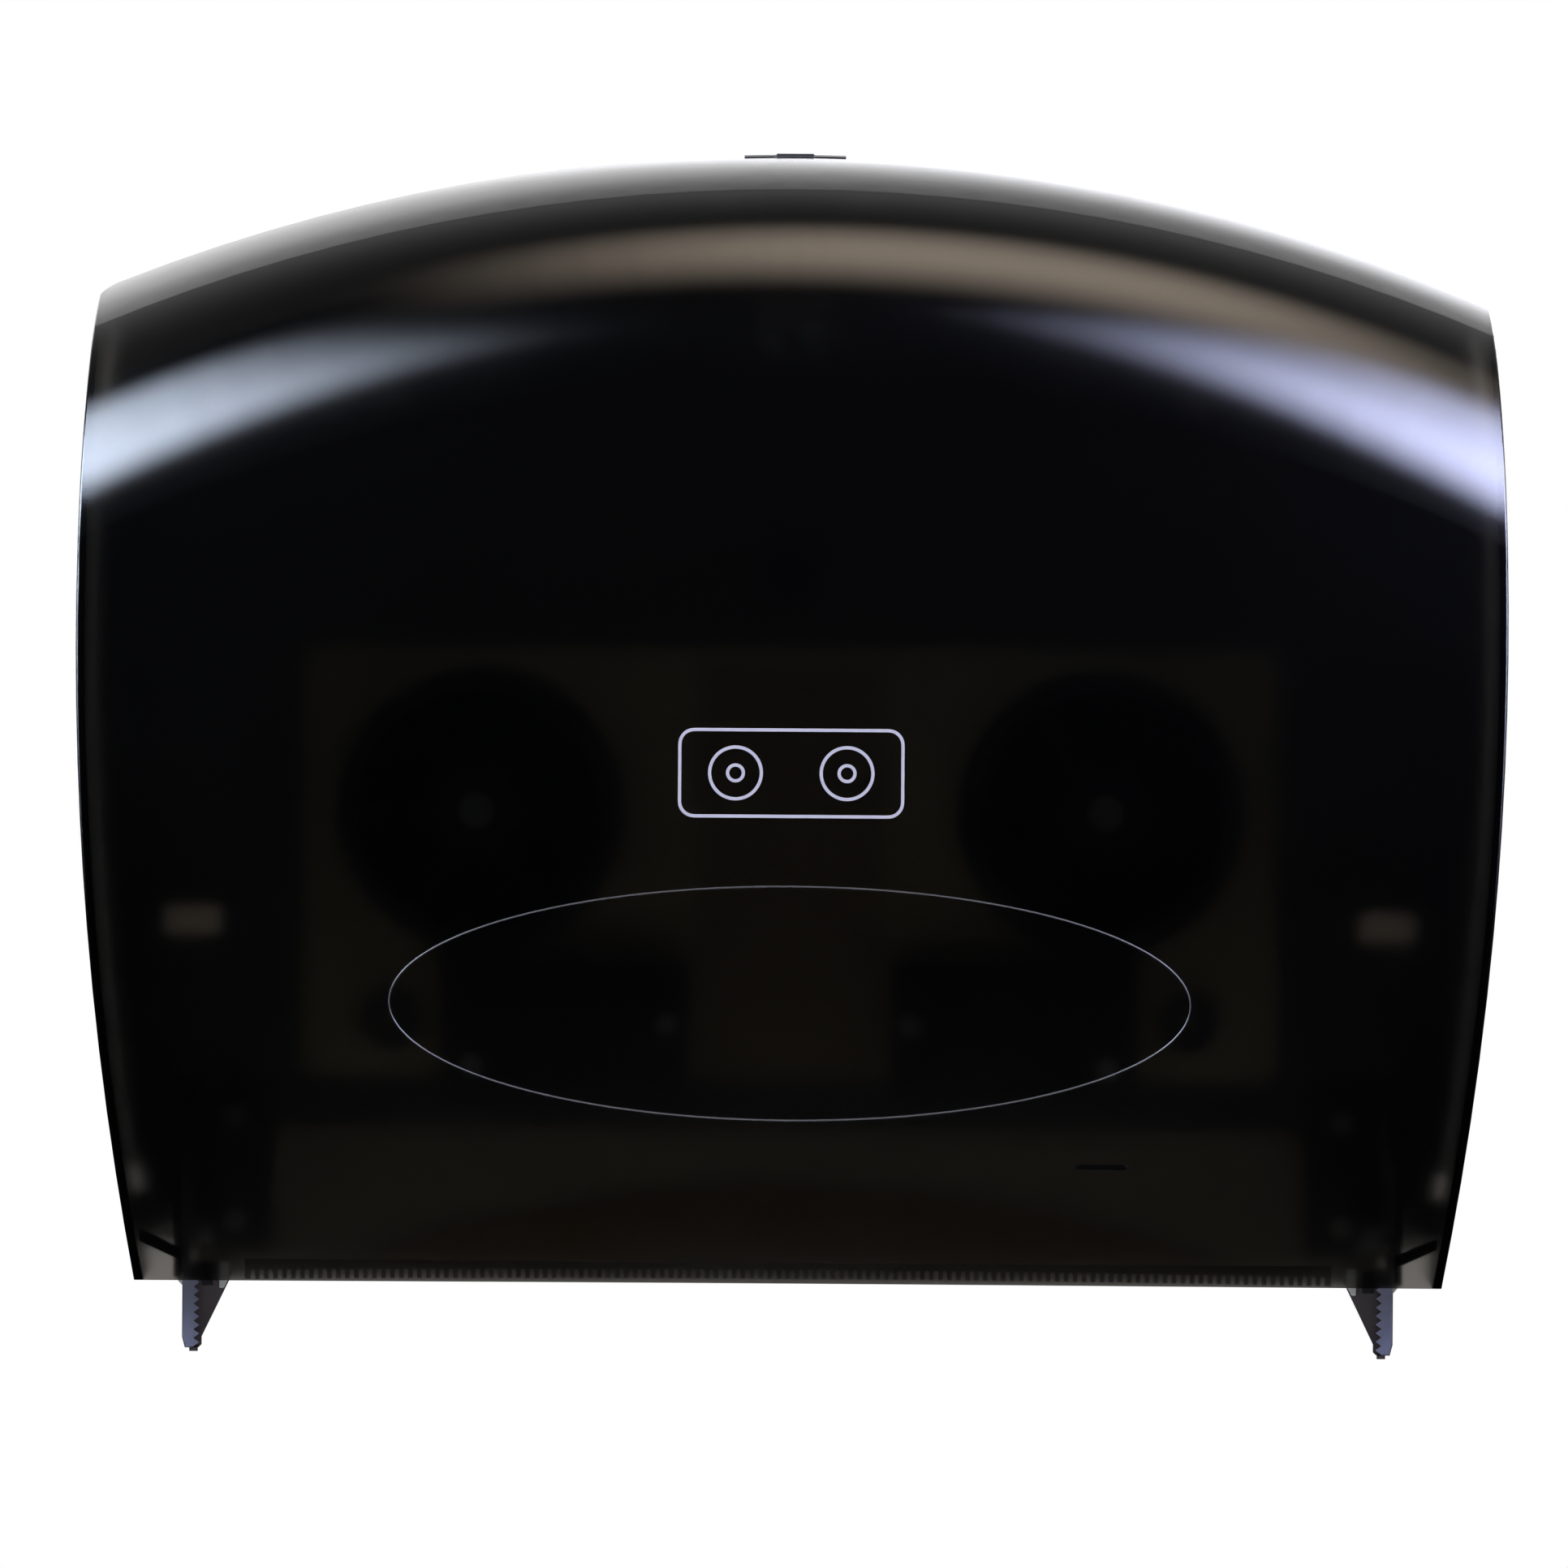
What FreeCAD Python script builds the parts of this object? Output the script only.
import FreeCAD, Part
import math
import os
import re

import Sketcher
from FreeCAD import Placement, Rotation, Vector

# Wall-mounted dispenser for two jumbo paper rolls.
# +Z is up, the wall is the plane y = 0, the front looks along -Y.
# The origin is the centre of the four wall holes, on the back face.
# Heights are above the lower edge of the cover's front, setbacks are measured from the wall.

# Driving sizes in millimetres and degrees.
SIZES = {
    # Cover: outline from the front, section from the side.
    "cover_height": 319,
    "mount_lift": 0.5,
    "arch_radius": 517,
    "waist_half_width": 203,
    "foot_tuck": 17.5,
    "waist_height": 183,
    "side_draft": 1.5,
    "cover_depth": 146,
    "lip_tuck": 8,
    "belly_height": 110,
    "brow_radius": 70,
    "brow_drop": 9.6,
    "crown_slope": 0.5,
    "cover_wall": 2.5,
    "edge_radius": 0.7,
    "shoulder_radius": 12,
    "wall_gap": 1.5,
    "foot_bow": 1.4,
    "swing_rise": 9,
    # Oval groove and small slot in the cover's front.
    "oval_half_width": 111.3,
    "oval_half_height": 32.5,
    "oval_height": 78,
    "groove_width": 1.2,
    "groove_depth": 0.6,
    "slot_offset": 86.7,
    "slot_height": 33,
    "slot_length": 14.4,
    "slot_width": 1.4,
    # Comb of fine teeth inside the cover's lower edge.
    "comb_margin": 34.5,
    "comb_height": 6,
    "comb_thick": 1.5,
    "comb_pitch": 2.5,
    "comb_tooth_height": 2.5,
    # Clearances.
    "seat_gap": 0.1,
    "press_gap": 0.02,
    "running_gap": 0.05,
    "moving_gap": 0.5,
    "screw_gap": 0.1,
    # Back plate.
    "plate_thick": 3,
    "plate_gap": 1.2,
    "plate_drop": 4,
    "rim_depth": 14,
    "rim_wall": 2.2,
    "chamfer_rise": 3,
    "chamfer_slope": 29,
    "hinge_relief": 40,
    "notch_half_width": 24,
    "hole_spacing_across": 228.6,
    "hole_margin": 70.6,
    "hole_radius": 2.75,
    "hole_pad_radius": 9,
    "hole_pad_height": 2,
    # Paper guide at the foot of the back plate.
    "guide_margin": 8.1,
    "guide_rise": 23,
    "guide_thick": 2,
    # Blank instruction panel.
    "panel_width": 52,
    "panel_height": 118,
    "panel_middle": 114,
    "panel_thick": 1.2,
    # Spindle arms, posts and roll hubs.
    "hub_offset": 88.4,
    "hub_height": 131,
    "arm_thick": 8,
    "stem_inner": 29,
    "stem_outer": 97,
    "stem_low": 52,
    "stem_high": 88,
    "upright_half_width": 11,
    "arm_disc_radius": 20,
    "post_radius": 8,
    "post_flange_radius": 14.5,
    "post_flange_thick": 3,
    "washer_radius": 14,
    "washer_thick": 1.2,
    "hub_play": 0.3,
    "hub_length": 75,
    "hub_flange_radius": 40.8,
    "hub_flange_thick": 2.5,
    "drum_radius": 36,
    "drum_length": 58,
    "drum_wall": 2,
    "sleeve_radius": 11,
    "rib_count": 6,
    "rib_thick": 1.8,
    "rib_setback": 8,
    "retainer_radius": 13,
    "retainer_thick": 3,
    "retainer_screw_depth": 14,
    # Cover hinge.
    "hinge_setback": 18,
    "hinge_height": 14,
    "pin_radius": 3,
    "bush_wall": 2,
    "bush_length": 6.5,
    "bush_flange_width": 2,
    "bush_flange_thick": 1.2,
    "boss_inset": 10.9,
    "boss_wall": 3,
    # Side cheeks.
    "cheek_gap": 2.8,
    "cheek_thick": 2.2,
    "cheek_setback": 20,
    "cheek_front_rise": 30,
    "cheek_back_rise": 52,
    "cheek_foot_width": 22,
    "cheek_foot_thick": 3,
    "cheek_foot_low": 4,
    "cheek_boss_radius": 7,
    "cheek_boss_length": 6,
    # Tear fins and blades.
    "fin_setback": 9,
    "fin_length": 18,
    "fin_thick": 2,
    "fin_rise": 12,
    "fin_drop": 20,
    "fin_tip_length": 5,
    "fin_heel_drop": 4,
    "fin_reach": 13.5,
    "fin_shelf_rise": 4,
    "fin_shelf_drop": 0.2,
    "fin_front_width": 3.2,
    "fin_tip_reach": 5.4,
    "fin_tip_rise": 3,
    "fin_tip_tuck": 0.8,
    "stub_inset": 3.2,
    "stub_width": 2.3,
    "stub_height": 1,
    "blade_thick": 0.8,
    "blade_teeth": 8,
    "blade_pitch": 2.4,
    "blade_tooth": 1.6,
    "blade_margin": 0.3,
    # Latch.
    "lock_setback": 18,
    "button_width": 10.6,
    "button_depth": 7,
    "button_sink": 0.1,
    "button_shoulder": 2,
    "button_shoulder_height": 5,
    "stem_width": 5,
    "stem_depth": 2,
    "bezel_width": 29,
    "bezel_depth": 15,
    "bezel_thick": 0.2,
    "housing_width": 30,
    "housing_depth": 20,
    "housing_plate": 2.4,
    "web_gap": 6,
    "web_thick": 2,
    "web_front": 6,
    "web_rear": 5.5,
    "web_foot": 5,
    "spring_floor": 10.5,
    "floor_thick": 1.5,
    "floor_half_depth": 5,
    "hook_setback": 9,
    "hook_drop": 35,
    "hook_width": 8,
    "hook_radius": 4,
    "hook_half_height": 2,
    "hook_tail": 11,
    "nose_near": 1.5,
    "nose_far": 3.2,
    "nose_drop": 5,
    "tail_gap": 0.6,
    "hook_pin_radius": 1.5,
    "coil_radius": 3.6,
    "wire_radius": 0.35,
    "coil_turns": 4,
    "strike_width": 24,
    "strike_thick": 1.2,
    "strike_reach": 5.5,
    "strike_lip": 1.3,
    "strike_lip_height": 3,
    "strike_height": 17,
    # Screws.
    "screw_radius": 1.5,
    "screw_head_radius": 3,
    "screw_head_height": 2,
    "screw_bite": 2,
    "arm_screw_margin": 6,
    "cheek_screw_margin": 9,
    "fin_screw_front": 6,
    "fin_screw_rear": 13.5,
    "fin_screw_drop": 4.5,
    "lock_screw_offset": 11,
    "lock_boss_radius": 3.2,
    "retainer_screw_radius": 2.5,
    "retainer_screw_head_radius": 5,
    "retainer_screw_head_height": 3,
}

# Sizes that follow from the driving ones.
DERIVED = {
    "mount_height": "cover_height / 2 + mount_lift",
    "hole_spacing_up": "cover_height - 2 * hole_margin",
    "foot_half_width": "waist_half_width - foot_tuck",
    "lip_depth": "cover_depth - lip_tuck",
    "comb_half_length": "foot_half_width - comb_margin",
    "boss_face": "foot_half_width - boss_inset",
    "cheek_offset": "boss_face - cheek_gap - cheek_thick",
    "cheek_depth": "lip_depth - cover_wall - cheek_setback",
    "fin_front": "cheek_depth - fin_setback",
    "guide_half_width": "cheek_offset - cheek_foot_width - guide_margin",
    "guide_tall": "guide_rise + plate_drop",
    "guide_radius": "(guide_half_width ^ 2 + guide_tall ^ 2) / (2 * guide_tall)",
    "front_radius": "(belly_height ^ 2 + lip_tuck ^ 2) / (2 * lip_tuck)",
    "brow_level": "brow_drop + brow_radius",
    "brow_rise": "cover_height - brow_level - belly_height",
    "brow_setback": "cover_depth - front_radius + sqrt((front_radius - brow_radius) ^ 2 - brow_rise ^ 2)",
    "crown_lean": "sin(crown_slope * 1 deg)",
    "crown_lift": "cos(crown_slope * 1 deg)",
    "crown_radius": ("(brow_setback ^ 2 + brow_level ^ 2 - brow_radius ^ 2)"
                     " / (2 * (brow_level * crown_lift - brow_setback * crown_lean - brow_radius))"),
    "crown_fall": ("crown_radius * crown_lift - sqrt(crown_radius ^ 2"
                   " - (lock_setback + housing_depth / 2 + crown_radius * crown_lean) ^ 2)"),
}

doc = FreeCAD.newDocument("dispenser")
sheet = doc.addObject("Spreadsheet::Sheet", "dims")
cells = {**SIZES, **{alias: f"={text}" for alias, text in DERIVED.items()}}
for row, (alias, content) in enumerate(cells.items(), start=1):
    sheet.set(f"A{row}", alias)
    sheet.set(f"B{row}", str(content))
    sheet.setAlias(f"B{row}", alias)
doc.recompute()

pieces = []
SIDES = {"left": -1, "right": 1}

# Distance within which an edge counts as lying on a face.
TOUCH = 0.01
# Inner corners take a fillet while it keeps this share of the outer one.
LEAST_FILLET_SHARE = 0.25
# The coil is drawn as this many arcs to a turn.
COIL_ARCS = 4


def formula(text):
    """Expression in which each size name points at its cell."""
    return re.sub(r"[a-z_]+", lambda word: f"dims.{word[0]}" if word[0] in cells else word[0], text)


def value(text):
    """Number that a formula gives at the sheet's sizes."""
    return float(sheet.evalExpression(formula(text)))


def bind(target, **formulas):
    """Ties properties of an object to formulas; an underscore pair stands for a dot."""
    for name, text in formulas.items():
        target.setExpression(name.replace("__", "."), formula(text))


def place(target, x="0", y="0", z="0"):
    """Ties an object's position to formulas."""
    bind(target, Placement__Base__x=x, Placement__Base__y=y, Placement__Base__z=z)


def keep(target, name):
    """Names a finished sub-part and lists it for writing."""
    target.Label = name
    pieces.append(target)
    return target


def span(side, low, high):
    """Formulas of a stretch along X, mirrored for the left side."""
    return (low, high) if side > 0 else (f"-({high})", f"-({low})")


def height(text):
    """Formula of a level above the cover's lower edge."""
    return f"({text}) - mount_height"


def box(name, x, y, z):
    """Block between pairs of formulas."""
    block = doc.addObject("Part::Box", name)
    bind(block, Length=f"({x[1]}) - ({x[0]})", Width=f"({y[1]}) - ({y[0]})", Height=f"({z[1]}) - ({z[0]})")
    place(block, x[0], y[0], z[0])
    return block


TURNS = {"x": Rotation(Vector(0, 1, 0), 90), "front": Rotation(Vector(1, 0, 0), 90), "up": Rotation()}


def rod(name, way, radius, length, x, y, z):
    """Cylinder from a point along +X, towards the front or up."""
    cylinder = doc.addObject("Part::Cylinder", name)
    cylinder.Placement = Placement(Vector(), TURNS[way])
    bind(cylinder, Radius=radius, Height=length)
    place(cylinder, x, y, z)
    return cylinder


def fuse(name, *shapes):
    """One solid from several that touch."""
    union = doc.addObject("Part::MultiFuse", name)
    union.Shapes = list(shapes)
    union.Refine = True
    return union


def cut(name, base, *tools):
    """A solid less one or more others."""
    result = doc.addObject("Part::Cut", name)
    result.Base = base
    result.Tool = tools[0] if len(tools) == 1 else fuse(f"{name}_tools", *tools)
    return result


def sketch_on(body, role, name, points):
    """Closed run of straight lines on one of a body's own planes, with every corner bound."""
    sketch = body.newObject("Sketcher::SketchObject", name)
    plane = next(item for item in body.Origin.OriginFeatures if item.Role == role)
    sketch.AttachmentSupport = [(plane, "")]
    sketch.MapMode = "FlatFace"
    corners = [Vector(value(across), value(along), 0) for across, along in points]
    count = len(corners)
    for index in range(count):
        sketch.addGeometry(Part.LineSegment(corners[index], corners[(index + 1) % count]), False)
    for index in range(count):
        sketch.addConstraint(Sketcher.Constraint("Coincident", index, 2, (index + 1) % count, 1))
    for index, texts in enumerate(points):
        numbers = (corners[index].x, corners[index].y)
        for kind, axis, text, number in zip(("DistanceX", "DistanceY"), (-2, -1), texts, numbers):
            if number == 0:
                sketch.addConstraint(Sketcher.Constraint("PointOnObject", index, 1, axis))
                continue
            tie = sketch.addConstraint(Sketcher.Constraint(kind, -1, 1, index, 1, number))
            sketch.setExpression(f"Constraints[{tie}]", formula(text))
    return sketch


def prism(name, role, points, start, length):
    """Straight-sided plate: an outline on XZ_Plane grows to the front, one on YZ_Plane along +X."""
    body = doc.addObject("PartDesign::Body", name)
    pad = body.newObject("PartDesign::Pad", f"{name}_pad")
    pad.Profile = sketch_on(body, role, f"{name}_outline", points)
    bind(pad, Length=length)
    if role == "XZ_Plane":
        place(body, y=start)
    else:
        place(body, x=start)
    return body


def turned(name, points, x="0", y="0", z="0", axis="V_Axis"):
    """Body of revolution about Y (V_Axis) or X (H_Axis)."""
    body = doc.addObject("PartDesign::Body", name)
    sketch = sketch_on(body, "XY_Plane", f"{name}_section", points)
    spin = body.newObject("PartDesign::Revolution", f"{name}_turn")
    spin.Profile = sketch
    spin.ReferenceAxis = (sketch, [axis])
    spin.Angle = 360
    place(body, x, y, z)
    return body


# Shank directions of the screws, turned from +Y.
SHANKS = {
    "wall": Rotation(),
    "right": Rotation(Vector(0, 0, 1), -90),
    "left": Rotation(Vector(0, 0, 1), 90),
    "up": Rotation(Vector(1, 0, 0), 90),
}


def screw(name, way, bite, x, y, z, kind="screw"):
    """Pan-head screw: the head's underside lies at the point, the shank runs from there by bite."""
    radius = f"{kind}_radius"
    head = f"{kind}_head_radius"
    top = f"-{kind}_head_height"
    section = [("0", top), (head, top), (head, "0"), (radius, "0"), (radius, bite), ("0", bite)]
    body = turned(name, section)
    body.Placement = Placement(Vector(), SHANKS[way])
    place(body, x, y, z)
    return body


def group(name, screws):
    """Like fasteners as one sub-part of separate solids."""
    compound = doc.addObject("Part::Compound", name)
    compound.Links = screws
    return keep(compound, name)


def single(shape):
    """The one solid of a boolean result."""
    solids = shape.removeSplitter().Solids
    if len(solids) != 1:
        raise ValueError(f"expected one solid, found {len(solids)}")
    return solids[0]


def shaped(name, shape):
    """Sub-part whose form is worked out from the sheet's sizes."""
    feature = doc.addObject("Part::Feature", name)
    feature.Shape = shape
    return keep(feature, name)


def slab(low, high):
    """Plain block between two corners given as numbers."""
    size = [high[k] - low[k] for k in range(3)]
    return Part.makeBox(*size, Vector(*low))


def both_sides(shape):
    """A form and its mirror image across the middle plane."""
    return shape.fuse(shape.mirror(Vector(0, 0, 0), Vector(1, 0, 0)))


# Cover form: the side section swept round the arch centre, trimmed by two wide cones.

foot_level = -sheet.mount_height
apex_level = sheet.cover_height - sheet.mount_height
axis_level = apex_level - sheet.arch_radius
axis_to_foot = foot_level - axis_level
draft = math.radians(sheet.side_draft)
FAR = 2 * sheet.cover_depth + sheet.waist_half_width


def bulge_radius(half_chord, sag):
    """Radius of an arc from half its chord and its rise."""
    return (half_chord ** 2 + sag ** 2) / (2 * sag)


# Centres of the section's three arcs, which meet at tangents: crowned top, brow and front.
side_radius = bulge_radius(sheet.waist_height, sheet.foot_tuck)
crown_level = sheet.arch_radius - sheet.crown_radius * sheet.crown_lift
crown = Vector(0, sheet.crown_radius * sheet.crown_lean, crown_level)
brow = Vector(0, -sheet.brow_setback, sheet.arch_radius - sheet.brow_level)
front = Vector(0, sheet.front_radius - sheet.cover_depth, axis_to_foot + sheet.belly_height)
crown_way = (brow - crown).normalize()
front_way = (brow - front).normalize()


def section_face(inset, rear):
    """Side section of the cover, moved in by inset; z is the distance from the sweep axis."""
    crown_reach = sheet.crown_radius - inset
    brow_reach = sheet.brow_radius - inset
    front_reach = sheet.front_radius - inset
    low = axis_to_foot / 2

    def on_crown(setback):
        """Point of the crowned top at a place along Y."""
        return Vector(0, setback, crown.z + math.sqrt(crown_reach ** 2 - (setback - crown.y) ** 2))

    def on_front(distance):
        """Point of the front at a distance from the axis."""
        rise = distance - front.z
        return Vector(0, front.y - math.sqrt(front_reach ** 2 - rise ** 2), distance)

    top_rear = on_crown(rear)
    top_front = brow + crown_way * brow_reach
    brow_middle = brow + (front_way + crown_way).normalize() * brow_reach
    front_top = brow + front_way * brow_reach
    front_low = on_front(low)
    edges = [
        Part.Arc(top_rear, on_crown((rear + top_front.y) / 2), top_front).toShape(),
        Part.Arc(top_front, brow_middle, front_top).toShape(),
        Part.Arc(front_top, on_front((front_top.z + low) / 2), front_low).toShape(),
        Part.LineSegment(front_low, Vector(0, rear, low)).toShape(),
        Part.LineSegment(Vector(0, rear, low), top_rear).toShape(),
    ]
    face = Part.Face(Part.Wire(edges))
    face.translate(Vector(0, 0, axis_level))
    return face


def side_cone(inset, side):
    """Wide cone whose flank is the drafted side of the cover."""
    reach = side_radius - inset / math.cos(draft)
    fall = math.tan(draft)
    start = Vector(side * (sheet.waist_half_width - side_radius), FAR, foot_level + sheet.waist_height)
    return Part.makeCone(reach + FAR * fall, reach - FAR * fall, 2 * FAR, start, Vector(0, -1, 0))


def on_flank(point, side):
    """Distance of a point from the outer flank of one side."""
    across = point.x - side * (sheet.waist_half_width - side_radius)
    up = point.z - foot_level - sheet.waist_height
    return math.hypot(across, up) - side_radius - point.y * math.tan(draft)


def shoulder_column(inset, side):
    """Column along Y outside the rounded shoulder of one side."""
    arch_centre = Vector(0, 0, axis_level)
    side_centre = Vector(side * (sheet.waist_half_width - side_radius), 0, foot_level + sheet.waist_height)
    arch_reach = sheet.arch_radius - sheet.shoulder_radius
    side_reach = side_radius - sheet.shoulder_radius
    way = side_centre - arch_centre
    distance = way.Length
    way.normalize()
    along = (arch_reach ** 2 - side_reach ** 2 + distance ** 2) / (2 * distance)
    out = Vector(side * way.z, 0, -side * way.x)
    middle = arch_centre + way * along + out * math.sqrt(arch_reach ** 2 - along ** 2)
    first = (middle - arch_centre).normalize()
    last = (middle - side_centre).normalize()
    far = 2 * sheet.shoulder_radius
    corners = [middle, middle + first * far, middle + (first + last) * far, middle + last * far, middle]
    wedge = Part.Face(Part.makePolygon(corners)).extrude(Vector(0, -2 * FAR, 0))
    wedge = wedge.cut(Part.makeCylinder(sheet.shoulder_radius - inset, 2 * FAR, middle, Vector(0, -1, 0)))
    wedge.translate(Vector(0, FAR, 0))
    return wedge


def cover_block(inset, rear, foot):
    """Solid form of the cover, moved in by inset, in front of y = rear and above z = foot."""
    half_angle = math.degrees(math.atan2(sheet.waist_half_width, axis_to_foot / 2))
    centre = Vector(0, 0, axis_level)
    face = section_face(inset, rear)
    face.rotate(centre, Vector(0, 1, 0), -half_angle)
    block = face.revolve(centre, Vector(0, 1, 0), 2 * half_angle)
    block = block.common(side_cone(inset, 1)).common(side_cone(inset, -1))
    block = block.common(slab((-FAR, -FAR, foot), (FAR, FAR, FAR)))
    shoulders = shoulder_column(inset, 1).fuse(shoulder_column(inset, -1))
    radius = sheet.edge_radius - inset
    if radius < LEAST_FILLET_SHARE * sheet.edge_radius:
        return single(block.cut(shoulders))
    offset = inset / math.cos(draft)
    corner_edges = []
    for edge in block.Edges:
        middle = edge.valueAt((edge.FirstParameter + edge.LastParameter) / 2)
        flank = min(abs(on_flank(middle, side) + offset) for side in (1, -1))
        if flank < TOUCH and middle.y < rear - TOUCH and middle.z > foot + TOUCH:
            corner_edges.append(edge)
    return single(block.makeFillet(radius, corner_edges).cut(shoulders))


def rod_along_x(radius, start, length, setback, level):
    """Cylinder along +X as a bare shape."""
    return Part.makeCylinder(radius, length, Vector(start, -setback, level), Vector(1, 0, 0))


# Level of the lock housing's top: clear of the cover's crowned top over the housing's whole depth.
APEX = "cover_height - mount_height"
FLANGE_TOP = f"({APEX} - crown_fall - cover_wall - moving_gap)"
flange_top = value(FLANGE_TOP)
hinge_level = foot_level + sheet.hinge_height


def button_hole(low, high):
    """Clearance block for the latch button between two levels."""
    half_width = sheet.button_width / 2 + sheet.moving_gap
    half_depth = sheet.button_depth / 2 + sheet.moving_gap
    return slab((-half_width, -sheet.lock_setback - half_depth, low),
                (half_width, -sheet.lock_setback + half_depth, high))


def foot_rise(across):
    """Height of the cover's bowed lower edge above its ends."""
    radius = bulge_radius(sheet.foot_half_width, sheet.foot_bow)
    return sheet.foot_bow - radius + math.sqrt(radius ** 2 - across ** 2)


def foot_arch():
    """Wide cylinder along Y below the cover, which bows its lower edge."""
    radius = bulge_radius(sheet.foot_half_width, sheet.foot_bow)
    start = Vector(0, 0, foot_level + sheet.foot_bow - radius)
    return Part.makeCylinder(radius, FAR, start, Vector(0, -1, 0))


def oval_prism(half_width, half_height):
    """Elliptic column through the cover's front."""
    centre = Vector(0, -FAR, foot_level + sheet.oval_height)
    ellipse = Part.Ellipse(Vector(half_width, 0, 0), Vector(0, half_height, 0), Vector(0, 0, 0))
    face = Part.Face(Part.Wire(ellipse.toShape()))
    face.rotate(Vector(0, 0, 0), Vector(1, 0, 0), 90)
    face.translate(centre)
    return face.extrude(Vector(0, FAR - sheet.lip_depth / 2, 0))


def cover_shell():
    """Smoke cover: hollow form with hinge bosses, lock bosses, oval groove, slot and button hole."""
    outer = cover_block(0, -sheet.wall_gap, foot_level)
    cavity = cover_block(sheet.cover_wall, sheet.wall_gap, foot_level - sheet.cover_wall)
    shell = outer.cut(cavity).cut(foot_arch())

    bush_hole = sheet.pin_radius + sheet.running_gap + sheet.bush_wall + sheet.press_gap
    boss = rod_along_x(bush_hole + sheet.boss_wall, sheet.boss_face, FAR, sheet.hinge_setback, hinge_level)
    shell = shell.fuse(both_sides(boss).common(outer))
    hole_start = sheet.boss_face - sheet.boss_wall
    hole_length = sheet.bush_length + sheet.boss_wall + sheet.seat_gap
    hole = rod_along_x(bush_hole, hole_start, hole_length, sheet.hinge_setback, hinge_level)
    shell = shell.cut(both_sides(hole))

    clear_of_plate = sheet.plate_thick + sheet.moving_gap
    swing = sheet.hinge_setback - clear_of_plate
    corner = slab((0, -sheet.hinge_setback, hinge_level - FAR), (FAR, FAR, hinge_level))
    corner = corner.cut(rod_along_x(swing, -FAR, 3 * FAR, sheet.hinge_setback, hinge_level))
    rear_edge = slab((0, -clear_of_plate, hinge_level - FAR), (FAR, FAR, hinge_level + sheet.swing_rise))
    shell = shell.cut(both_sides(corner)).cut(both_sides(rear_edge))

    for side in SIDES.values():
        start = Vector(side * sheet.lock_screw_offset, -sheet.lock_setback, flange_top + sheet.seat_gap)
        lock_boss = Part.makeCylinder(sheet.lock_boss_radius, FAR, start).common(outer)
        shell = shell.fuse(lock_boss)
        bore = sheet.screw_radius + sheet.screw_gap
        shell = shell.cut(Part.makeCylinder(bore, sheet.screw_bite + sheet.seat_gap, start))

    skin = outer.cut(cover_block(sheet.groove_depth, 0, foot_level - sheet.cover_wall))
    half = sheet.groove_width / 2
    ring = oval_prism(sheet.oval_half_width + half, sheet.oval_half_height + half)
    ring = ring.cut(oval_prism(sheet.oval_half_width - half, sheet.oval_half_height - half))
    shell = shell.cut(ring.common(skin))

    slot_low = foot_level + sheet.slot_height - sheet.slot_width / 2
    slot_start = sheet.slot_offset - sheet.slot_length / 2
    slot_end = slot_start + sheet.slot_length
    slot = slab((slot_start, -FAR, slot_low), (slot_end, -sheet.lip_depth / 2, slot_low + sheet.slot_width))
    return single(shell.cut(slot).cut(button_hole(flange_top, FAR)))


def tear_comb():
    """Strip inside the cover's lower edge, notched into fine square teeth."""
    inset = sheet.cover_wall + sheet.seat_gap
    below = foot_level - sheet.cover_wall
    layer = cover_block(inset, 0, below).cut(cover_block(inset + sheet.comb_thick, sheet.wall_gap, below))
    half = sheet.comb_half_length
    strip = layer.common(slab((-half, -FAR, foot_level),
                              (half, -sheet.lip_depth / 2, foot_level + sheet.comb_height)))
    strip = strip.cut(foot_arch())
    pairs = int(half // sheet.comb_pitch)
    notches = []
    for index in range(-pairs, pairs):
        start = index * sheet.comb_pitch + sheet.comb_pitch / 4
        end = start + sheet.comb_pitch / 2
        top = foot_level + foot_rise(start) + sheet.comb_tooth_height
        notches.append(slab((start, -FAR, below), (end, 0, top)))
    return single(strip.cut(Part.makeCompound(notches)))


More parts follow.
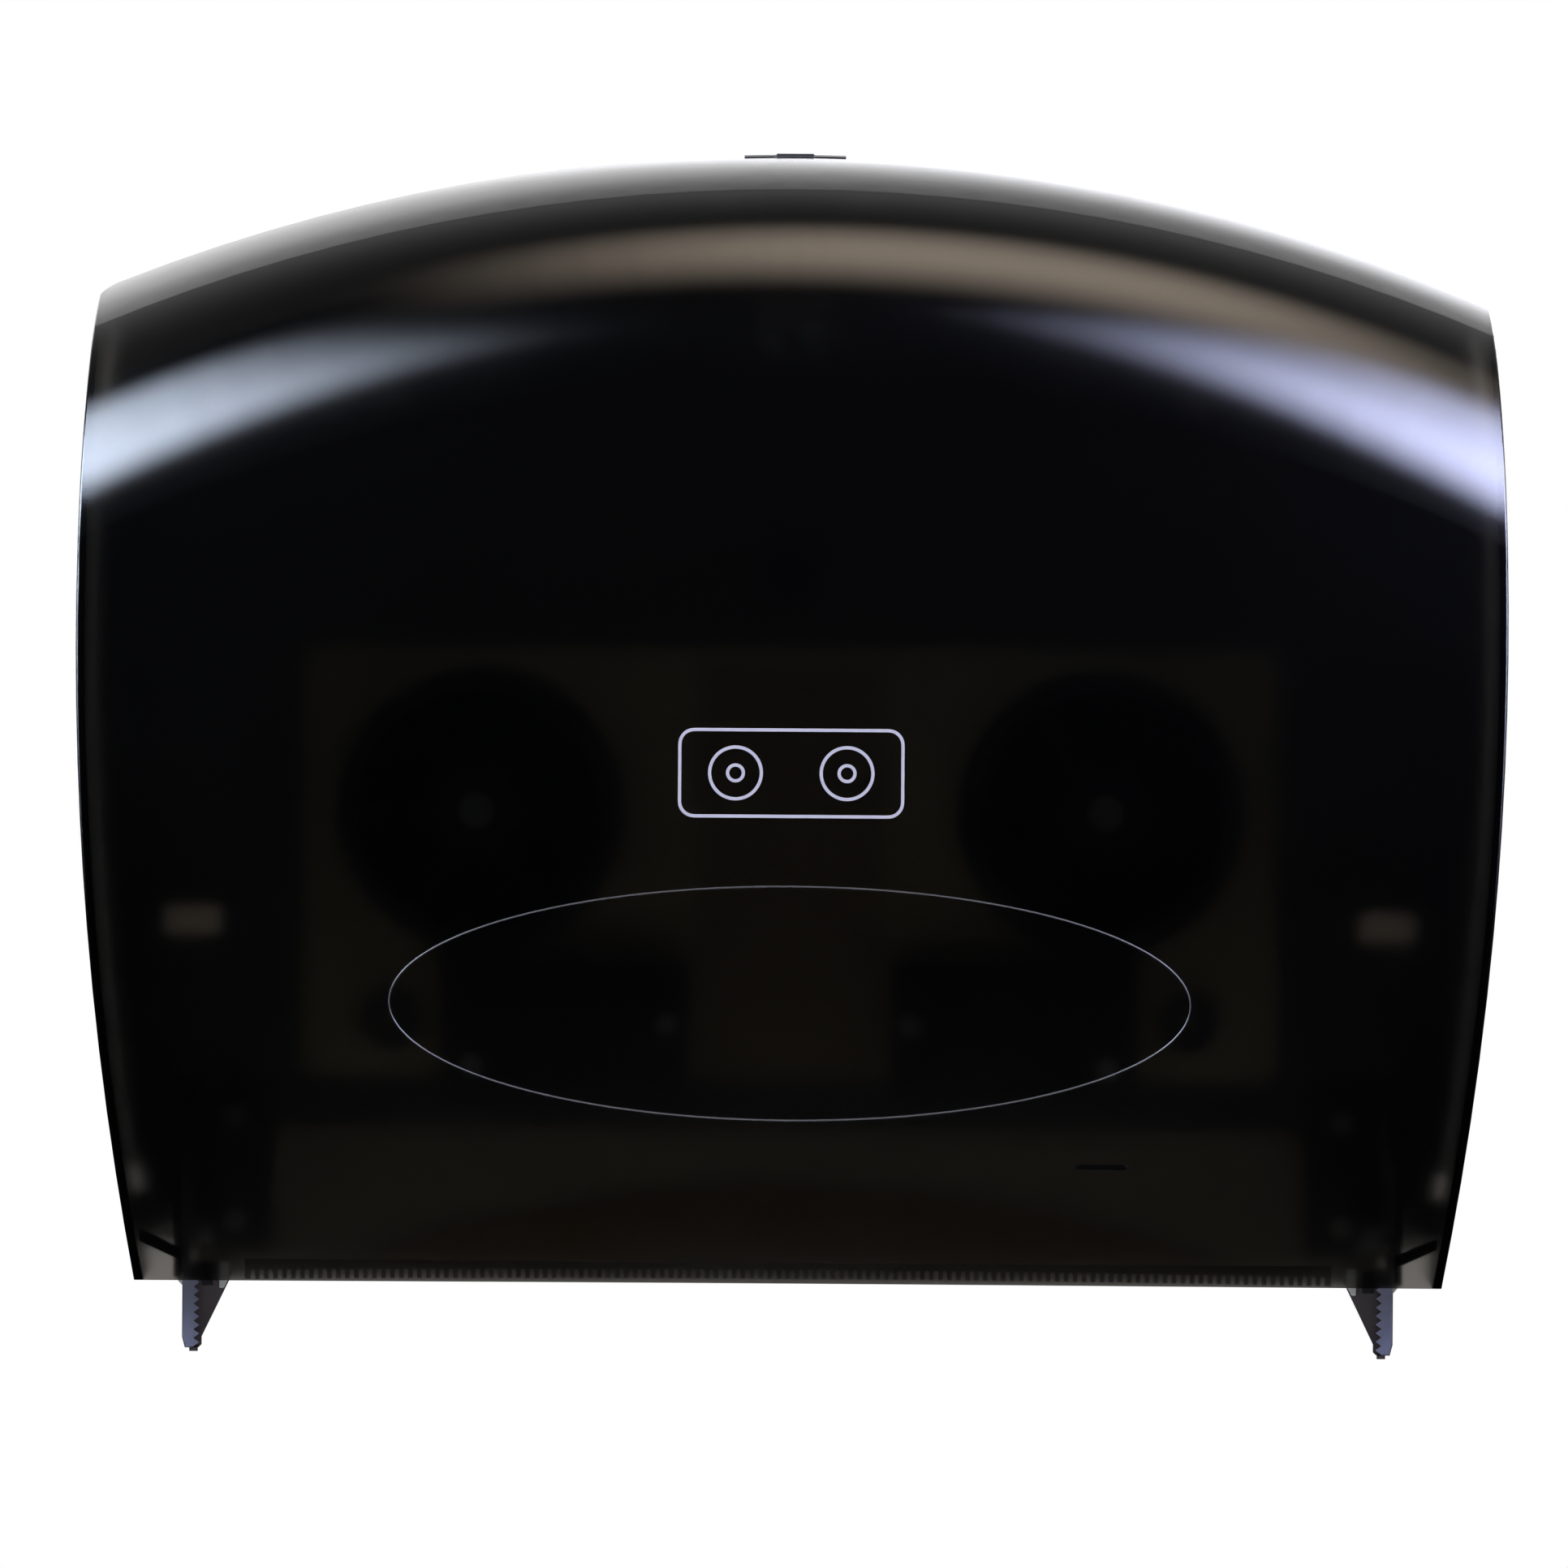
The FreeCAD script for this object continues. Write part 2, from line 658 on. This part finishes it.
def back_plate():
    """Grey chassis plate with a rim, chamfered lower corners, wall holes and screw holes."""
    inset = sheet.cover_wall + sheet.plate_gap
    foot = foot_level - sheet.plate_drop
    blank = cover_block(inset, 0, foot).common(slab((-FAR, -sheet.rim_depth, -FAR), (FAR, 0, FAR)))
    hollow = cover_block(inset + sheet.rim_wall, sheet.wall_gap, foot - sheet.plate_drop)
    hollow = hollow.common(slab((-FAR, -FAR, -FAR), (FAR, -sheet.plate_thick, FAR)))
    plate = blank.cut(hollow)

    outside = sheet.cheek_offset + sheet.cheek_thick
    rise = foot_level + sheet.chamfer_rise
    far_rise = rise + FAR * math.tan(math.radians(sheet.chamfer_slope))
    outline = [Vector(outside, 0, foot - FAR), Vector(outside, 0, rise), Vector(outside + FAR, 0, far_rise),
               Vector(outside + FAR, 0, foot - FAR)]
    wedge = Part.Face(Part.makePolygon(outline + outline[:1])).extrude(Vector(0, -FAR, 0))
    wedge.translate(Vector(0, sheet.wall_gap, 0))
    relief = slab((sheet.cheek_offset - sheet.cheek_foot_width, -FAR, -FAR),
                  (FAR, -sheet.plate_thick, foot_level + sheet.hinge_relief))
    notch = slab((-sheet.notch_half_width, -FAR, 0), (sheet.notch_half_width, -sheet.plate_thick, FAR))
    plate = plate.cut(both_sides(wedge)).cut(both_sides(relief)).cut(notch)

    for across in (-1, 1):
        for up in (-1, 1):
            spot = Vector(across * sheet.hole_spacing_across / 2, 0, up * sheet.hole_spacing_up / 2)
            pad = Part.makeCylinder(sheet.hole_pad_radius, sheet.plate_thick + sheet.hole_pad_height, spot,
                                    Vector(0, -1, 0))
            hole = Part.makeCylinder(sheet.hole_radius, FAR, spot, Vector(0, -1, 0))
            plate = plate.fuse(pad).cut(hole)
    for across, up in plate_screw_places():
        spot = Vector(across, -sheet.plate_thick, up)
        bore = sheet.screw_radius + sheet.screw_gap
        depth = sheet.screw_bite + sheet.seat_gap
        plate = plate.cut(Part.makeCylinder(bore, depth, spot, Vector(0, 1, 0)))
    return single(plate)


# Screw places as pairs of formulas across and up, for the right side where they are mirrored.
ARM_SCREWS = [
    ("stem_inner + arm_screw_margin", height("(stem_low + stem_high) / 2")),
    ("stem_outer - arm_screw_margin", height("stem_low + arm_screw_margin")),
    ("hub_offset", height("(stem_high + hub_height - post_flange_radius) / 2")),
]
CHEEK_SCREWS = [
    ("cheek_offset - cheek_foot_width / 2", height("cheek_foot_low + cheek_screw_margin")),
    ("cheek_offset - cheek_foot_width / 2", height("cheek_back_rise - cheek_screw_margin")),
]
HOOK_LEVEL = f"{APEX} - hook_drop"
LIP_TOP = f"{HOOK_LEVEL} - nose_drop - moving_gap"
STRIKE_SCREWS = [("strike_width / 4", f"{LIP_TOP} - strike_lip_height - strike_height / 2")]


def plate_screw_places():
    """Numbers of every screw place on the back plate, both sides."""
    places = ARM_SCREWS + CHEEK_SCREWS + STRIKE_SCREWS
    return [(side * value(across), value(up)) for side in SIDES.values() for across, up in places]


shaped("cover_shell", cover_shell())
shaped("tear_comb", tear_comb())
shaped("back_plate", back_plate())

# Paper guide: low arch on the foot of the back plate.

PLATE_FACE = "-plate_thick"
guide_arch = rod("guide_arch", "front", "guide_radius", "guide_thick", "0", PLATE_FACE,
                 height("guide_rise - guide_radius"))
guide_band = box("guide_band", ("-guide_radius", "guide_radius"), ("-plate_thick - guide_thick", PLATE_FACE),
                 (height("-plate_drop"), height("guide_rise + plate_drop")))
paper_guide = doc.addObject("Part::Common", "paper_guide")
paper_guide.Base = guide_arch
paper_guide.Tool = guide_band
keep(paper_guide, "paper_guide")

# Blank panel in the middle of the back plate.

panel = box("instruction_plate", ("-panel_width / 2", "panel_width / 2"),
            ("-plate_thick - panel_thick", PLATE_FACE),
            (height("panel_middle - panel_height / 2"), height("panel_middle + panel_height / 2")))
keep(panel, "instruction_plate")

# Spindle arms, posts, washers, hubs and retainers; setbacks along the post start at the arm's front face.

ARM_FACE = "-plate_thick - arm_thick"
SCREW_HOLE = "screw_radius + screw_gap"
HUB_BACK = "(post_flange_thick + washer_thick + hub_play)"
POST_END = f"({HUB_BACK} + hub_length + hub_play)"
HUB_BORE = "post_radius + running_gap"
arm_screws = []
retainer_screws = []


def spindle_arm(word, side):
    """Dark arm on the back plate: stem, upright and disc with the post's seat."""
    middle = f"{side} * hub_offset"
    depth = (ARM_FACE, PLATE_FACE)
    stem = box(f"arm_stem_{word}", span(side, "stem_inner", "stem_outer"), depth,
               (height("stem_low"), height("stem_high")))
    upright = box(f"arm_upright_{word}",
                  span(side, "hub_offset - upright_half_width", "hub_offset + upright_half_width"), depth,
                  (height("stem_low"), height("hub_height")))
    level = height("hub_height")
    disc = rod(f"arm_disc_{word}", "front", "arm_disc_radius", "arm_thick", middle, PLATE_FACE, level)
    body = fuse(f"arm_body_{word}", stem, upright, disc)
    seat = "post_radius + press_gap"
    holes = [rod(f"arm_seat_{word}", "front", seat, "arm_thick", middle, PLATE_FACE, level)]
    for index, (across, up) in enumerate(ARM_SCREWS):
        spot = f"{side} * ({across})"
        holes.append(rod(f"arm_hole_{word}_{index}", "front", SCREW_HOLE, "arm_thick", spot, PLATE_FACE, up))
        arm_screws.append(screw(f"arm_screw_{word}_{index}", "wall", "arm_thick + screw_bite", spot,
                                ARM_FACE, up))
    keep(cut(f"spindle_arm_{word}", body, *holes), f"spindle_arm_{word}")


def spindle(word, side):
    """Fixed post with its brake washer, turning hub, retainer and screw."""
    at = {"x": f"{side} * hub_offset", "y": ARM_FACE, "z": height("hub_height")}
    bore = "retainer_screw_radius + screw_gap"
    bore_end = f"-{POST_END} + retainer_screw_depth + seat_gap"
    keep(turned(f"spindle_post_{word}", [
        ("0", "arm_thick"), ("post_radius", "arm_thick"), ("post_radius", "0"), ("post_flange_radius", "0"),
        ("post_flange_radius", "-post_flange_thick"), ("post_radius", "-post_flange_thick"),
        ("post_radius", f"-{POST_END}"), (bore, f"-{POST_END}"), (bore, bore_end), ("0", bore_end)], **at),
        f"spindle_post_{word}")
    washer_front = "-post_flange_thick - washer_thick"
    washer_bore = "post_radius + screw_gap"
    keep(turned(f"brake_washer_{word}", [
        (washer_bore, "-post_flange_thick"), ("washer_radius", "-post_flange_thick"),
        ("washer_radius", washer_front), (washer_bore, washer_front)], **at), f"brake_washer_{word}")
    keep(roll_hub(word, at), f"roll_hub_{word}")
    retainer_front = f"-{POST_END} - retainer_thick"
    keep(turned(f"hub_retainer_{word}", [
        (bore, f"-{POST_END}"), ("retainer_radius", f"-{POST_END}"), ("retainer_radius", retainer_front),
        (bore, retainer_front)], **at), f"hub_retainer_{word}")
    retainer_screws.append(screw(
        f"retainer_screw_{word}", "wall", "retainer_thick + retainer_screw_depth", at["x"],
        f"{ARM_FACE} - {POST_END} - retainer_thick", at["z"], kind="retainer_screw"))


def roll_hub(word, at):
    """Hub that carries the roll's core: flange, open drum and sleeve joined by ribs."""
    name = f"roll_hub_{word}"
    flange_front = f"-{HUB_BACK} - hub_flange_thick"
    drum_front = f"-{HUB_BACK} - drum_length"
    sleeve_front = f"-{HUB_BACK} - hub_length"
    drum_inside = "drum_radius - drum_wall"
    hub = turned(name, [
        (HUB_BORE, f"-{HUB_BACK}"), ("hub_flange_radius", f"-{HUB_BACK}"),
        ("hub_flange_radius", flange_front), ("drum_radius", flange_front), ("drum_radius", drum_front),
        (drum_inside, drum_front), (drum_inside, flange_front), ("sleeve_radius", flange_front),
        ("sleeve_radius", sleeve_front), (HUB_BORE, sleeve_front)], **at)
    inner = "sleeve_radius - drum_wall / 2"
    outer = "drum_radius - drum_wall / 2"
    low = "-rib_thick / 2"
    high = "rib_thick / 2"
    outline = sketch_on(hub, "XZ_Plane", f"{name}_rib_outline",
                        [(inner, low), (outer, low), (outer, high), (inner, high)])
    outline.setExpression("AttachmentOffset.Base.z", formula(f"{HUB_BACK} + hub_flange_thick / 2"))
    rib = hub.newObject("PartDesign::Pad", f"{name}_rib")
    rib.Profile = outline
    bind(rib, Length="drum_length - hub_flange_thick / 2 - rib_setback")
    ribs = hub.newObject("PartDesign::PolarPattern", f"{name}_ribs")
    ribs.Originals = [rib]
    ribs.Axis = (next(item for item in hub.Origin.OriginFeatures if item.Role == "Y_Axis"), [""])
    ribs.Angle = 360
    bind(ribs, Occurrences="round(rib_count)")
    hub.Tip = ribs
    return hub


for side_word, side_sign in SIDES.items():
    spindle_arm(side_word, side_sign)
    spindle(side_word, side_sign)
group("arm_screws", arm_screws)
group("retainer_screws", retainer_screws)

# Side cheeks, hinge pins, bushes, tear fins and blades.

CHEEK_OUTSIDE = "cheek_offset + cheek_thick"
PIN_END = "boss_face + bush_length - moving_gap"
FIN_SCREWS = [("-fin_front + fin_screw_front", height("fin_rise - fin_screw_drop")),
              ("-fin_front + fin_screw_rear", height("fin_rise - fin_screw_drop"))]
cheek_screws = []
fin_screws = []


def side_cheek(word, side):
    """Upright plate that carries the hinge pin and the tear fin."""
    wall = prism(f"cheek_wall_{word}", "YZ_Plane", [
        (PLATE_FACE, height("cheek_foot_low")), ("-cheek_depth", height("0")),
        ("-cheek_depth", height("cheek_front_rise")), (PLATE_FACE, height("cheek_back_rise"))],
        span(side, "cheek_offset", CHEEK_OUTSIDE)[0], "cheek_thick")
    foot_face = "-plate_thick - cheek_foot_thick"
    foot = box(f"cheek_foot_{word}", span(side, "cheek_offset - cheek_foot_width", "cheek_offset"),
               (foot_face, PLATE_FACE), (height("cheek_foot_low"), height("cheek_back_rise")))
    level = height("hinge_height")
    boss = rod(f"cheek_boss_{word}", "x", "cheek_boss_radius", "cheek_boss_length",
               span(side, "cheek_offset - cheek_boss_length", "cheek_offset")[0], "-hinge_setback", level)
    holes = [rod(f"cheek_pin_hole_{word}", "x", "pin_radius + press_gap", "cheek_boss_length + cheek_thick",
                 span(side, "cheek_offset - cheek_boss_length", CHEEK_OUTSIDE)[0], "-hinge_setback", level)]
    for index, (across, up) in enumerate(CHEEK_SCREWS):
        spot = f"{side} * ({across})"
        holes.append(rod(f"cheek_hole_{word}_{index}", "front", SCREW_HOLE, "cheek_foot_thick", spot,
                         PLATE_FACE, up))
        cheek_screws.append(screw(f"cheek_screw_{word}_{index}", "wall", "cheek_foot_thick + screw_bite",
                                  spot, foot_face, up))
    for index, (along, up) in enumerate(FIN_SCREWS):
        holes.append(rod(f"cheek_fin_hole_{word}_{index}", "x", SCREW_HOLE, "cheek_thick",
                         span(side, "cheek_offset", CHEEK_OUTSIDE)[0], along, up))
    body = fuse(f"cheek_body_{word}", wall, foot, boss)
    keep(cut(f"side_cheek_{word}", body, *holes), f"side_cheek_{word}")


def cover_hinge(word, side):
    """Pin held in the cheek and flanged bush held in the cover."""
    level = height("hinge_height")
    pin_span = span(side, "cheek_offset - cheek_boss_length", PIN_END)
    keep(rod(f"hinge_pin_{word}", "x", "pin_radius", f"({pin_span[1]}) - ({pin_span[0]})", pin_span[0],
             "-hinge_setback", level), f"hinge_pin_{word}")
    bore = "pin_radius + running_gap"
    sleeve = f"{bore} + bush_wall"
    flange = f"{sleeve} + bush_flange_width"
    face = f"{side} * boss_face"
    flange_end = f"{side} * (boss_face - bush_flange_thick)"
    sleeve_end = f"{side} * (boss_face + bush_length)"
    keep(turned(f"hinge_bush_{word}", [
        (flange_end, bore), (flange_end, flange), (face, flange), (face, sleeve), (sleeve_end, sleeve),
        (sleeve_end, bore)], y="-hinge_setback", z=level, axis="H_Axis"), f"hinge_bush_{word}")


TIP_TOP = "-fin_drop + fin_tip_rise"


def tear_fin(word, side):
    """Tapered fin below the cover: side tab, front strip, web behind it and a small stub at the tip."""
    tab = prism(f"fin_tab_{word}", "YZ_Plane", [
        ("-fin_front + fin_length", height("fin_rise")), ("-fin_front", height("fin_rise")),
        ("-fin_front", height(TIP_TOP)), ("-fin_front + fin_tip_length", height(TIP_TOP)),
        ("-fin_front + fin_length", height("-fin_heel_drop"))],
        span(side, "cheek_offset - fin_thick", "cheek_offset")[0], "fin_thick")
    outer = f"{side} * cheek_offset"
    strip_edge = f"{side} * (cheek_offset - fin_front_width)"
    reach_edge = f"{side} * (cheek_offset - fin_reach)"
    tip_edge = f"{side} * (cheek_offset - fin_tip_reach)"
    tucked = f"{side} * (cheek_offset - fin_tip_tuck)"
    tucked_edge = f"{side} * (cheek_offset - fin_tip_reach + fin_tip_tuck)"
    top = height("fin_shelf_rise")
    tip_top = height(TIP_TOP)
    tip = height("-fin_drop")
    strip = prism(f"fin_strip_{word}", "XZ_Plane", [
        (outer, top), (strip_edge, top), (strip_edge, tip), (tucked, tip), (outer, tip_top)],
        "-fin_front + fin_thick", "fin_thick")
    web = prism(f"fin_web_{word}", "XZ_Plane", [
        (outer, top), (reach_edge, top), (reach_edge, height("-fin_shelf_drop")), (tip_edge, tip_top),
        (tip_edge, height("-fin_drop + fin_tip_tuck")), (tucked_edge, tip), (tucked, tip), (outer, tip_top)],
        "-fin_front + 2 * fin_thick", "fin_thick")
    middle = f"{side} * (cheek_offset - stub_inset)"
    stub = box(f"fin_stub_{word}", (f"{middle} - stub_width / 2", f"{middle} + stub_width / 2"),
               ("-fin_front", "-fin_front + 2 * fin_thick"), (height("-fin_drop - stub_height"), tip))
    holes = []
    way = "right" if side > 0 else "left"
    for index, (along, up) in enumerate(FIN_SCREWS):
        holes.append(rod(f"fin_hole_{word}_{index}", "x", SCREW_HOLE, "fin_thick",
                         span(side, "cheek_offset - fin_thick", "cheek_offset")[0], along, up))
        fin_screws.append(screw(f"fin_screw_{word}_{index}", way, "fin_thick + cheek_thick",
                                f"{side} * (cheek_offset - fin_thick)", along, up))
    body = fuse(f"fin_body_{word}", tab, strip, web, stub)
    keep(cut(f"tear_fin_{word}", body, *holes), f"tear_fin_{word}")


def tear_blade(word, side):
    """Thin steel strip on the fin's front, with saw teeth along its inner edge."""
    outer = f"{side} * (cheek_offset - blade_margin)"
    root = f"{side} * (cheek_offset - fin_front_width)"
    tip = f"{side} * (cheek_offset - fin_front_width - blade_tooth)"
    tucked = f"{side} * (cheek_offset - blade_margin - fin_tip_tuck)"
    low = "-fin_drop + blade_margin"
    teeth = round(sheet.blade_teeth)
    outline = [(outer, height(f"{low} + fin_tip_rise")), (tucked, height(low))]
    for index in range(teeth):
        outline.append((root, height(f"{low} + {index} * blade_pitch")))
        outline.append((tip, height(f"{low} + {index + 0.5} * blade_pitch")))
    outline.append((root, height(f"{low} + {teeth} * blade_pitch")))
    outline.append((outer, height(f"{low} + {teeth} * blade_pitch")))
    name = f"tear_blade_{word}"
    keep(prism(name, "XZ_Plane", outline, "-fin_front", "blade_thick"), name)


for side_word, side_sign in SIDES.items():
    side_cheek(side_word, side_sign)
    cover_hinge(side_word, side_sign)
    tear_fin(side_word, side_sign)
    tear_blade(side_word, side_sign)
group("cheek_screws", cheek_screws)
group("fin_screws", fin_screws)

# Latch: housing under the cover's top, button, hook and strike.

FLANGE_LOW = f"({FLANGE_TOP} - housing_plate)"
SHOULDER_TOP = f"({FLANGE_LOW} - moving_gap)"
SHOULDER_LOW = f"({SHOULDER_TOP} - button_shoulder_height)"
FLOOR_TOP = f"({HOOK_LEVEL} + hook_half_height + spring_floor)"
LOCK_Y = "-lock_setback"


def around(middle, half):
    """Formulas of a stretch centred on a place."""
    return (f"({middle}) - ({half})", f"({middle}) + ({half})")


def lock_housing():
    """Frame with a top plate, two webs that hold the hook's pin and a floor under the spring."""
    top = box("housing_top", around("0", "housing_width / 2"), around(LOCK_Y, "housing_depth / 2"),
              (FLANGE_LOW, FLANGE_TOP))
    webs = []
    pin_holes = []
    for word, side in SIDES.items():
        across = span(side, "web_gap", "web_gap + web_thick")
        webs.append(box(f"housing_web_{word}", across, (f"{LOCK_Y} - web_front", "-web_rear"),
                        (f"{HOOK_LEVEL} - web_foot", FLANGE_LOW)))
        pin_holes.append(rod(f"housing_pin_hole_{word}", "x", "hook_pin_radius + press_gap", "web_thick",
                             across[0], "-hook_setback", HOOK_LEVEL))
    floor = box("housing_floor", around("0", "web_gap"), around(LOCK_Y, "floor_half_depth"),
                (f"{FLOOR_TOP} - floor_thick", FLOOR_TOP))
    openings = [
        box("housing_button_hole", around("0", "button_width / 2 + moving_gap"),
            around(LOCK_Y, "button_depth / 2 + moving_gap"), (FLANGE_LOW, FLANGE_TOP)),
        box("housing_stem_hole", around("0", "stem_width / 2 + moving_gap"),
            around(LOCK_Y, "stem_depth / 2 + moving_gap"), (f"{FLOOR_TOP} - floor_thick", FLOOR_TOP)),
    ]
    for word, side in SIDES.items():
        openings.append(rod(f"housing_screw_hole_{word}", "up", SCREW_HOLE, "housing_plate",
                            f"{side} * lock_screw_offset", LOCK_Y, FLANGE_LOW))
    frame = fuse("housing_frame", top, floor, *webs)
    keep(cut("lock_housing", frame, *openings, *pin_holes), "lock_housing")


def lock_bezel():
    """Thin frame round the button, a layer on the crowned top."""
    half_width = sheet.bezel_width / 2
    half_depth = sheet.bezel_depth / 2
    plate = slab((-half_width, -sheet.lock_setback - half_depth, flange_top),
                 (half_width, -sheet.lock_setback + half_depth, FAR))
    plate = plate.common(cover_block(-sheet.seat_gap - sheet.bezel_thick, 0, foot_level))
    plate = plate.cut(cover_block(-sheet.seat_gap, 0, foot_level))
    return single(plate.cut(button_hole(flange_top, FAR)))


def lock_button():
    """Push button: head, shoulder that holds it in and a thin stem down to the hook."""
    head = box("button_head", around("0", "button_width / 2"), around(LOCK_Y, "button_depth / 2"),
               (SHOULDER_LOW, f"{APEX} - button_sink"))
    shoulder = box("button_flange", around("0", "button_width / 2"),
                   around(LOCK_Y, "button_depth / 2 + button_shoulder"), (SHOULDER_LOW, SHOULDER_TOP))
    stem = box("button_stem", around("0", "stem_width / 2"), around(LOCK_Y, "stem_depth / 2"),
               (f"{HOOK_LEVEL} + hook_half_height + tail_gap", SHOULDER_LOW))
    keep(fuse("lock_button", head, shoulder, stem), "lock_button")


def latch_hook():
    """Lever turned by the button's stem: tail in front of the pin, nose behind it."""
    across = around("0", "hook_width / 2")
    level = around(HOOK_LEVEL, "hook_half_height")
    hub = rod("hook_hub", "x", "hook_radius", "hook_width", "-hook_width / 2", "-hook_setback", HOOK_LEVEL)
    tail = box("hook_tail_bar", across, ("-hook_setback - hook_tail", "-hook_setback"), level)
    arm = box("hook_nose_bar", across, ("-hook_setback", "-hook_setback + nose_far"), level)
    nose = box("hook_nose", across, ("-hook_setback + nose_near", "-hook_setback + nose_far"),
               (f"{HOOK_LEVEL} - nose_drop", HOOK_LEVEL))
    bore = rod("hook_bore", "x", "hook_pin_radius + running_gap", "hook_width", "-hook_width / 2",
               "-hook_setback", HOOK_LEVEL)
    keep(cut("latch_hook", fuse("hook_body", hub, tail, arm, nose), bore), "latch_hook")


def button_spring():
    """Return spring under the button's shoulder: one round wire wound in short arcs."""
    low = value(FLOOR_TOP) + sheet.seat_gap + sheet.wire_radius
    high = value(SHOULDER_LOW) - sheet.seat_gap - sheet.wire_radius
    turns = round(sheet.coil_turns)
    pitch = (high - low) / turns

    def on_coil(step):
        """Point of the wire's centre line after so many arcs."""
        turn = step / COIL_ARCS
        angle = 2 * math.pi * turn
        across = sheet.coil_radius * math.cos(angle)
        along = sheet.coil_radius * math.sin(angle) - sheet.lock_setback
        return Vector(across, along, low + pitch * turn)

    arcs = [Part.Arc(on_coil(step), on_coil(step + 0.5), on_coil(step + 1)).toShape()
            for step in range(COIL_ARCS * turns)]
    path = Part.Wire(arcs)
    start = on_coil(0)
    ring = Part.Wire(Part.Circle(start, path.Edges[0].tangentAt(path.Edges[0].FirstParameter),
                                 sheet.wire_radius).toShape())
    print(f"button spring: least gap between turns {pitch - 2 * sheet.wire_radius:.2f} mm")
    return single(path.makePipeShell([ring], True, False))


def strike_plate():
    """Angle with an upturned lip, screwed to the back plate below the hook's nose."""
    across = around("0", "strike_width / 2")
    shelf_top = f"({LIP_TOP} - strike_lip_height)"
    base = box("strike_base", across, ("-plate_thick - strike_thick", PLATE_FACE),
               (f"{shelf_top} - strike_height", shelf_top))
    lip_face = "-plate_thick - strike_reach"
    shelf = box("strike_shelf", across, (lip_face, PLATE_FACE), (f"{shelf_top} - strike_thick", shelf_top))
    lip = box("strike_edge", across, (lip_face, f"{lip_face} + strike_lip"), (shelf_top, LIP_TOP))
    holes = []
    screws = []
    for word, side in SIDES.items():
        screw_across, level = STRIKE_SCREWS[0]
        spot = f"{side} * ({screw_across})"
        holes.append(rod(f"strike_hole_{word}", "front", SCREW_HOLE, "strike_thick", spot, PLATE_FACE,
                         level))
        screws.append(screw(f"strike_screw_{word}", "wall", "strike_thick + screw_bite", spot,
                            "-plate_thick - strike_thick", level))
    keep(cut("strike_plate", fuse("strike_body", base, shelf, lip), *holes), "strike_plate")
    group("strike_screws", screws)


lock_housing()
shaped("lock_bezel", lock_bezel())
lock_button()
latch_hook()
keep(rod("hook_pin", "x", "hook_pin_radius", "2 * (web_gap + web_thick)", "-web_gap - web_thick",
         "-hook_setback", HOOK_LEVEL), "hook_pin")
shaped("button_spring", button_spring())
strike_plate()
group("lock_screws", [
    screw(f"lock_screw_{word}", "up", "housing_plate + screw_bite", f"{side} * lock_screw_offset", LOCK_Y,
          FLANGE_LOW) for word, side in SIDES.items()])

# Every object has to be sound before anything is written.

doc.recompute()
for item in doc.Objects:
    if "Invalid" in item.State or "Error" in item.State:
        raise RuntimeError(f"{item.Name} failed: {item.State}")
os.makedirs("parts", exist_ok=True)
for piece in pieces:
    if piece.Shape.isNull() or not piece.Shape.isValid():
        raise RuntimeError(f"{piece.Label} has no sound shape")
for piece in pieces:
    piece.Shape.exportStep(f"parts/{piece.Label}.step")
    bounds = piece.Shape.BoundBox
    print(f"{piece.Label}: {len(piece.Shape.Solids)} solid(s), {piece.Shape.Volume:.0f} mm3,"
          f" x {bounds.XMin:.1f}..{bounds.XMax:.1f}, y {bounds.YMin:.1f}..{bounds.YMax:.1f},"
          f" z {bounds.ZMin:.1f}..{bounds.ZMax:.1f}")
